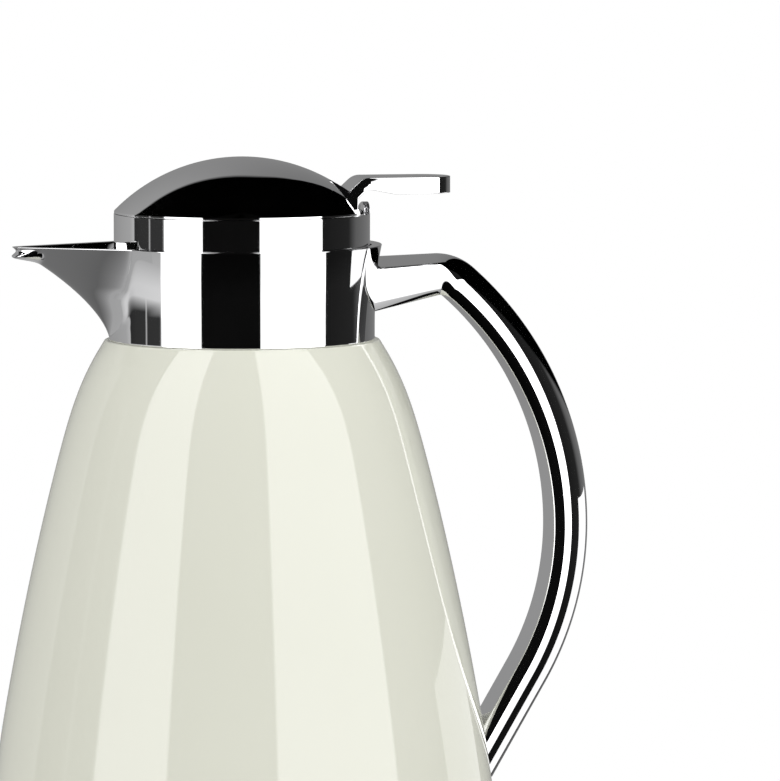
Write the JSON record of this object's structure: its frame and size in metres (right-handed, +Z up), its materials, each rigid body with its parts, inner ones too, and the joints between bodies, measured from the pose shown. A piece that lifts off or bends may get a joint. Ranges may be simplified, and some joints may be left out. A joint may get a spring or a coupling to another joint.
{
  "type": "thermal jug",
  "caption": "Tall thermal jug with a lacquered flared body, glass flask, chrome spout collar and bow handle, and a screw closure whose dome lid tips open by a thumb lever.",
  "frame": {"origin": "on the jug's axis, in the plane that it stands on", "axes": "+Z up along the jug's axis, the spout towards -X, the handle and thumb lever towards +X"},
  "size_m": [0.1966, 0.1658, 0.2905],
  "materials": {
    "ivory_lacquer": "gloss",
    "chrome": "polished",
    "black_plastic": "satin",
    "white_plastic": "satin",
    "white_silicone": "matte",
    "dark_rubber": "matte",
    "silvered_glass": "gloss",
    "steel": "satin"
  },
  "bodies": {
    "jug": {"body_shell": "ivory_lacquer", "base_cap": "black_plastic", "base_screws": "steel", "foot_ring": "dark_rubber", "flask_outer": "silvered_glass", "flask_inner": "silvered_glass", "flask_cushion": "dark_rubber", "neck_seal": "white_silicone", "neck_sleeve": "white_plastic", "neck_lock_ring": "white_plastic", "spout_collar": "chrome", "handle": "chrome", "handle_screws": "steel"},
    "closure_seal": {"closure_gasket": "white_silicone"},
    "closure": {"stopper_body": "black_plastic", "lid_ring": "chrome", "closure_screws": "steel", "hinge_pin": "steel", "lid_spring": "steel"},
    "lid": {"lid_dome": "chrome", "dome_liner": "black_plastic", "thumb_lever": "chrome", "lever_screws": "steel", "pour_plug": "black_plastic", "plug_gasket": "white_silicone", "plug_screw": "steel"}
  },
  "joints": [
    {"name": "closure_rise", "type": "slide", "parent": "jug", "child": "closure_seal", "axis": [0, 0, 1], "range_m": [0, 0.0045]},
    {"name": "closure_turn", "type": "hinge", "parent": "closure_seal", "child": "closure", "pos_m": [0, 0, 0.24], "axis": [0, 0, 1], "range_deg": [0, 90]},
    {"name": "lid_hinge", "type": "hinge", "parent": "closure", "child": "lid", "pos_m": [0.035, 0, 0.271], "axis": [0, 1, 0], "range_deg": [0, 24], "stiffness_Nm_per_rad": 0.06, "springref_deg": -20.05, "deforming": ["lid_spring"]}
  ],
  "couplings": [
    {"joint": "closure_rise", "follows": "closure_turn", "m_per_rad": 0.0028647}
  ]
}
